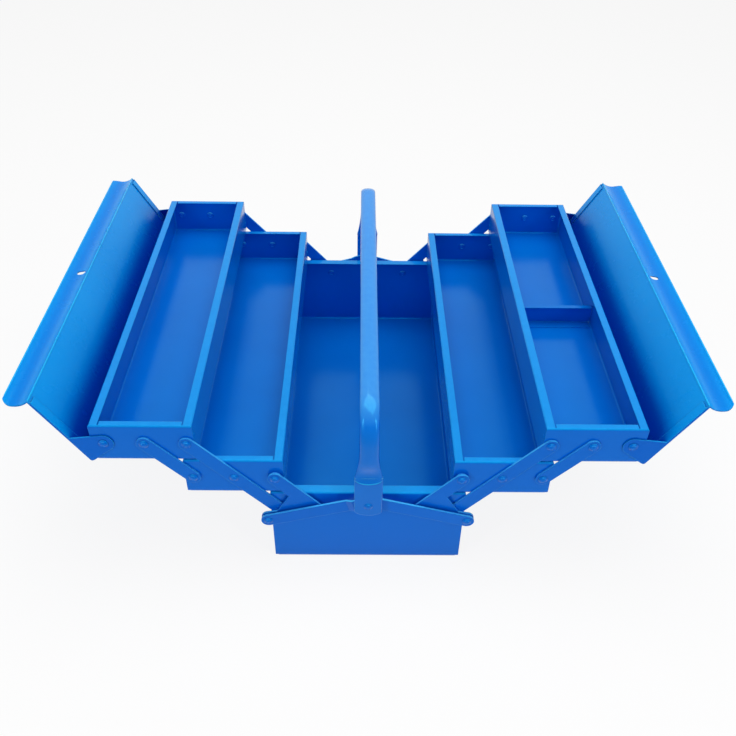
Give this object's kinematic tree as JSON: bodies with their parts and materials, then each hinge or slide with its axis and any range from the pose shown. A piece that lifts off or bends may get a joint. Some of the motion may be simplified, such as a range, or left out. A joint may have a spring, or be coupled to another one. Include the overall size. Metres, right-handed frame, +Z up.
{
  "type": "portable tool box with drawers",
  "caption": "Open cantilever tool box: folded sheet base, stacked swing-out trays on riveted arms, two hinged lids and a tubular carrying handle that lifts as the trays close.",
  "frame": {"origin": "centre of the base's flat bottom, on the surface the box stands on", "axes": "+Z up, X across the box in the direction the trays swing out, Y along the box; the near end, towards the viewer, is at -Y"},
  "size_m": [0.6796, 0.4754, 0.2271],
  "materials": {
    "blue_enamel": "glossy saturated blue enamel",
    "pale_enamel": "glossy lighter blue enamel",
    "rivet_enamel": "glossy blue enamel over the formed rivets"
  },
  "bodies": {
    "base": {"base_box": "blue_enamel", "base_rivets": "rivet_enamel", "base_spacers": "rivet_enamel"},
    "right_long_arms": {"right_near_long_arm": "blue_enamel", "right_far_long_arm": "blue_enamel"},
    "right_middle_unit": {"right_middle_tray": "blue_enamel", "right_middle_rivets": "rivet_enamel", "right_middle_spacers": "rivet_enamel"},
    "right_top_unit": {"right_top_tray": "blue_enamel", "right_top_rivets": "rivet_enamel", "divider": "pale_enamel"},
    "right_short_arms": {"right_near_short_arm": "blue_enamel", "right_far_short_arm": "blue_enamel"},
    "right_cranks": {"right_near_crank": "blue_enamel", "right_far_crank": "blue_enamel", "right_crank_rivets": "rivet_enamel", "right_crank_spacers": "rivet_enamel"},
    "right_links": {"right_near_link": "blue_enamel", "right_far_link": "blue_enamel"},
    "right_lid_panel": {"right_lid": "pale_enamel"},
    "left_long_arms": {"left_near_long_arm": "blue_enamel", "left_far_long_arm": "blue_enamel"},
    "left_middle_unit": {"left_middle_tray": "blue_enamel", "left_middle_rivets": "rivet_enamel", "left_middle_spacers": "rivet_enamel"},
    "left_top_unit": {"left_top_tray": "blue_enamel", "left_top_rivets": "rivet_enamel"},
    "left_short_arms": {"left_near_short_arm": "blue_enamel", "left_far_short_arm": "blue_enamel"},
    "left_cranks": {"left_near_crank": "blue_enamel", "left_far_crank": "blue_enamel", "left_crank_rivets": "rivet_enamel", "left_crank_spacers": "rivet_enamel"},
    "left_links": {"left_near_link": "blue_enamel", "left_far_link": "blue_enamel"},
    "left_lid_panel": {"left_lid": "pale_enamel"},
    "carrying_handle": {"handle": "pale_enamel", "handle_rivets": "rivet_enamel"}
  },
  "joints": [
    {"name": "right_arm_swing", "type": "hinge", "parent": "base", "child": "right_long_arms", "pos_m": [0.09187, 0, 0.0815], "axis": [0, -1, 0], "range_deg": [0, 84.61]},
    {"name": "right_middle_tray_pivot", "type": "hinge", "parent": "right_long_arms", "child": "right_middle_unit", "pos_m": [0.13373, 0, 0.1275], "axis": [0, -1, 0], "range_deg": [-84.61, 0]},
    {"name": "right_top_tray_pivot", "type": "hinge", "parent": "right_long_arms", "child": "right_top_unit", "pos_m": [0.1756, 0, 0.1735], "axis": [0, -1, 0], "range_deg": [-84.61, 0]},
    {"name": "right_short_arm_swing", "type": "hinge", "parent": "right_middle_unit", "child": "right_short_arms", "pos_m": [0.17433, 0, 0.1275], "axis": [0, -1, 0], "range_deg": [0, 84.61]},
    {"name": "right_crank_swing", "type": "hinge", "parent": "base", "child": "right_cranks", "pos_m": [0.05127, 0, 0.0815], "axis": [0, -1, 0], "range_deg": [0, 84.61]},
    {"name": "right_link_swing", "type": "hinge", "parent": "right_cranks", "child": "right_links", "pos_m": [0.1027, 0, 0.07], "axis": [0, -1, 0], "range_deg": [-119.38, 0]},
    {"name": "right_lid_hinge", "type": "hinge", "parent": "right_top_unit", "child": "right_lid_panel", "pos_m": [0.25492, 0, 0.1735], "axis": [0, -1, 0], "range_deg": [0, 120]},
    {"name": "left_arm_swing", "type": "hinge", "parent": "base", "child": "left_long_arms", "pos_m": [-0.09187, 0, 0.0815], "axis": [0, 1, 0], "range_deg": [0, 84.61]},
    {"name": "left_middle_tray_pivot", "type": "hinge", "parent": "left_long_arms", "child": "left_middle_unit", "pos_m": [-0.13373, 0, 0.1275], "axis": [0, 1, 0], "range_deg": [-84.61, 0]},
    {"name": "left_top_tray_pivot", "type": "hinge", "parent": "left_long_arms", "child": "left_top_unit", "pos_m": [-0.1756, 0, 0.1735], "axis": [0, 1, 0], "range_deg": [-84.61, 0]},
    {"name": "left_short_arm_swing", "type": "hinge", "parent": "left_middle_unit", "child": "left_short_arms", "pos_m": [-0.17433, 0, 0.1275], "axis": [0, 1, 0], "range_deg": [0, 84.61]},
    {"name": "left_crank_swing", "type": "hinge", "parent": "base", "child": "left_cranks", "pos_m": [-0.05127, 0, 0.0815], "axis": [0, 1, 0], "range_deg": [0, 84.61]},
    {"name": "left_link_swing", "type": "hinge", "parent": "left_cranks", "child": "left_links", "pos_m": [-0.1027, 0, 0.07], "axis": [0, 1, 0], "range_deg": [-119.38, 0]},
    {"name": "left_lid_hinge", "type": "hinge", "parent": "left_top_unit", "child": "left_lid_panel", "pos_m": [-0.25492, 0, 0.1735], "axis": [0, 1, 0], "range_deg": [0, 120]},
    {"name": "handle_lift", "type": "slide", "parent": "base", "child": "carrying_handle", "axis": [0, 0, 1], "range_m": [0, 0.11492]}
  ],
  "couplings": [
    {"joint": "right_middle_tray_pivot", "follows": "right_arm_swing", "ratio": -1},
    {"joint": "right_top_tray_pivot", "follows": "right_arm_swing", "ratio": -1},
    {"joint": "right_short_arm_swing", "follows": "right_arm_swing", "ratio": 1},
    {"joint": "right_crank_swing", "follows": "right_arm_swing", "ratio": 1},
    {"joint": "right_link_swing", "follows": "right_arm_swing", "ratio": -1.4109},
    {"joint": "left_arm_swing", "follows": "right_arm_swing", "ratio": 1},
    {"joint": "left_middle_tray_pivot", "follows": "right_arm_swing", "ratio": -1},
    {"joint": "left_top_tray_pivot", "follows": "right_arm_swing", "ratio": -1},
    {"joint": "left_short_arm_swing", "follows": "right_arm_swing", "ratio": 1},
    {"joint": "left_crank_swing", "follows": "right_arm_swing", "ratio": 1},
    {"joint": "left_link_swing", "follows": "right_arm_swing", "ratio": -1.4109},
    {"joint": "handle_lift", "follows": "right_arm_swing", "m_per_rad": 0.077815}
  ]
}
